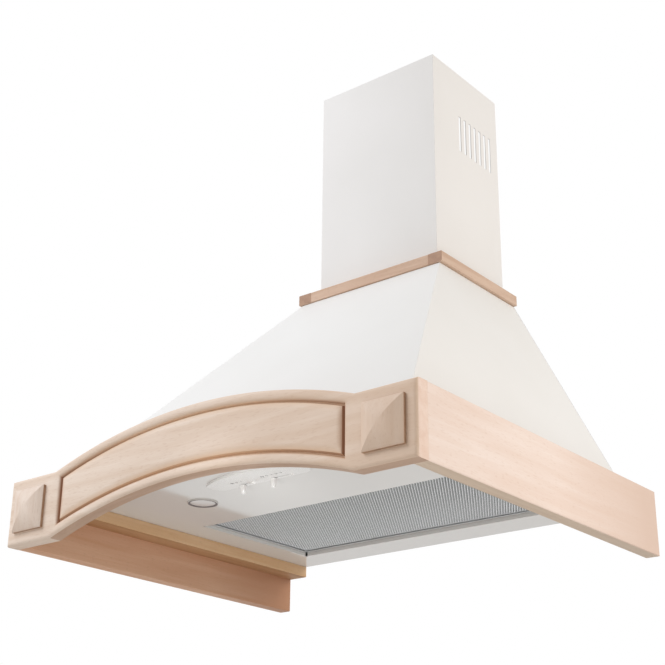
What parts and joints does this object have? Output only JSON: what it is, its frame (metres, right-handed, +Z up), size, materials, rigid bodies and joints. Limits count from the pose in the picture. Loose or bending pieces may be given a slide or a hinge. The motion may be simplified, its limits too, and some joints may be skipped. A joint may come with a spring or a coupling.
{
  "type": "range hood",
  "caption": "Wall chimney hood: white steel canopy and chimney in a raw beech frame with an arched front board, slide switches, spot lamps, hinged grease filter and blower.",
  "frame": {"origin": "midway between the two hanging holes, on the wall face of the back panel", "axes": "+X to the right as you face the hood, +Y back into the wall, +Z up"},
  "size_m": [0.6, 0.512, 0.712],
  "materials": {
    "beech": "raw, sanded, unfinished",
    "white_lacquer": "satin white lacquer",
    "zinc_sheet": "galvanised",
    "filter_aluminium": "mill",
    "bright_steel": "bright",
    "white_plastic": "satin white",
    "lens_plastic": "milky",
    "lamp_trim": "white lacquer",
    "lamp_glass": "frosted front",
    "ceramic": "white ceramic",
    "black_plastic": "matte black",
    "grey_plastic": "matte grey",
    "motor_paint": "dark grey paint",
    "rubber": "matte black"
  },
  "bodies": {
    "hood": {"back_panel": "zinc_sheet", "batten_left": "beech", "batten_right": "beech", "blower_flange": "zinc_sheet", "cable_grommet": "rubber", "canopy_shell": "white_lacquer", "chimney_bracket": "zinc_sheet", "chimney_cover": "white_lacquer", "control_plate": "white_plastic", "crown_front": "beech", "crown_left": "beech", "crown_right": "beech", "damper_axles": "bright_steel", "filter_clips": "bright_steel", "frame_dowels": "beech", "front_valance": "beech", "lamp_bulb_left": "lamp_glass", "lamp_bulb_right": "lamp_glass", "lamp_ring_left": "lamp_trim", "lamp_ring_right": "lamp_trim", "lamp_socket_left": "ceramic", "lamp_socket_right": "ceramic", "lamp_transformer": "black_plastic", "light_lens": "lens_plastic", "light_switch": "white_plastic", "lower_panel": "white_lacquer", "motor": "motor_paint", "motor_bracket": "zinc_sheet", "outlet_collar": "black_plastic", "rosette_left": "beech", "rosette_right": "beech", "scroll_side_left": "zinc_sheet", "scroll_side_right": "zinc_sheet", "scroll_wrap": "zinc_sheet", "side_board_left": "beech", "side_board_right": "beech", "speed_lens": "lens_plastic", "speed_switch": "white_plastic", "terminal_box": "black_plastic"},
    "filter": {"filter_frame": "filter_aluminium", "filter_mesh": "filter_aluminium", "filter_core": "filter_aluminium", "filter_back": "filter_aluminium", "filter_pins": "bright_steel"},
    "fan": {"impeller": "grey_plastic", "motor_shaft": "bright_steel"},
    "light_slider": {"light_knob": "white_plastic"},
    "speed_slider": {"speed_knob": "white_plastic"},
    "flap_left": {"damper_flap_left": "grey_plastic"},
    "flap_right": {"damper_flap_right": "grey_plastic"}
  },
  "joints": [
    {"name": "filter_tilt", "type": "hinge", "parent": "hood", "child": "filter", "pos_m": [0, -0.061, -0.2595], "axis": [1, 0, 0], "range_deg": [0, 75]},
    {"name": "fan_spin", "type": "hinge", "parent": "hood", "child": "fan", "pos_m": [0, -0.16946, -0.115], "axis": [1, 0, 0], "continuous": true},
    {"name": "light_slide", "type": "slide", "parent": "hood", "child": "light_slider", "axis": [1, 0, 0], "range_m": [0, 0.007]},
    {"name": "speed_slide", "type": "slide", "parent": "hood", "child": "speed_slider", "axis": [1, 0, 0], "range_m": [0, 0.021]},
    {"name": "flap_left_swing", "type": "hinge", "parent": "hood", "child": "flap_left", "pos_m": [-0.0031, -0.09, 0.08], "axis": [0, 1, 0], "range_deg": [0, 75]},
    {"name": "flap_right_swing", "type": "hinge", "parent": "hood", "child": "flap_right", "pos_m": [0.0031, -0.09, 0.08], "axis": [0, -1, 0], "range_deg": [0, 75]}
  ]
}
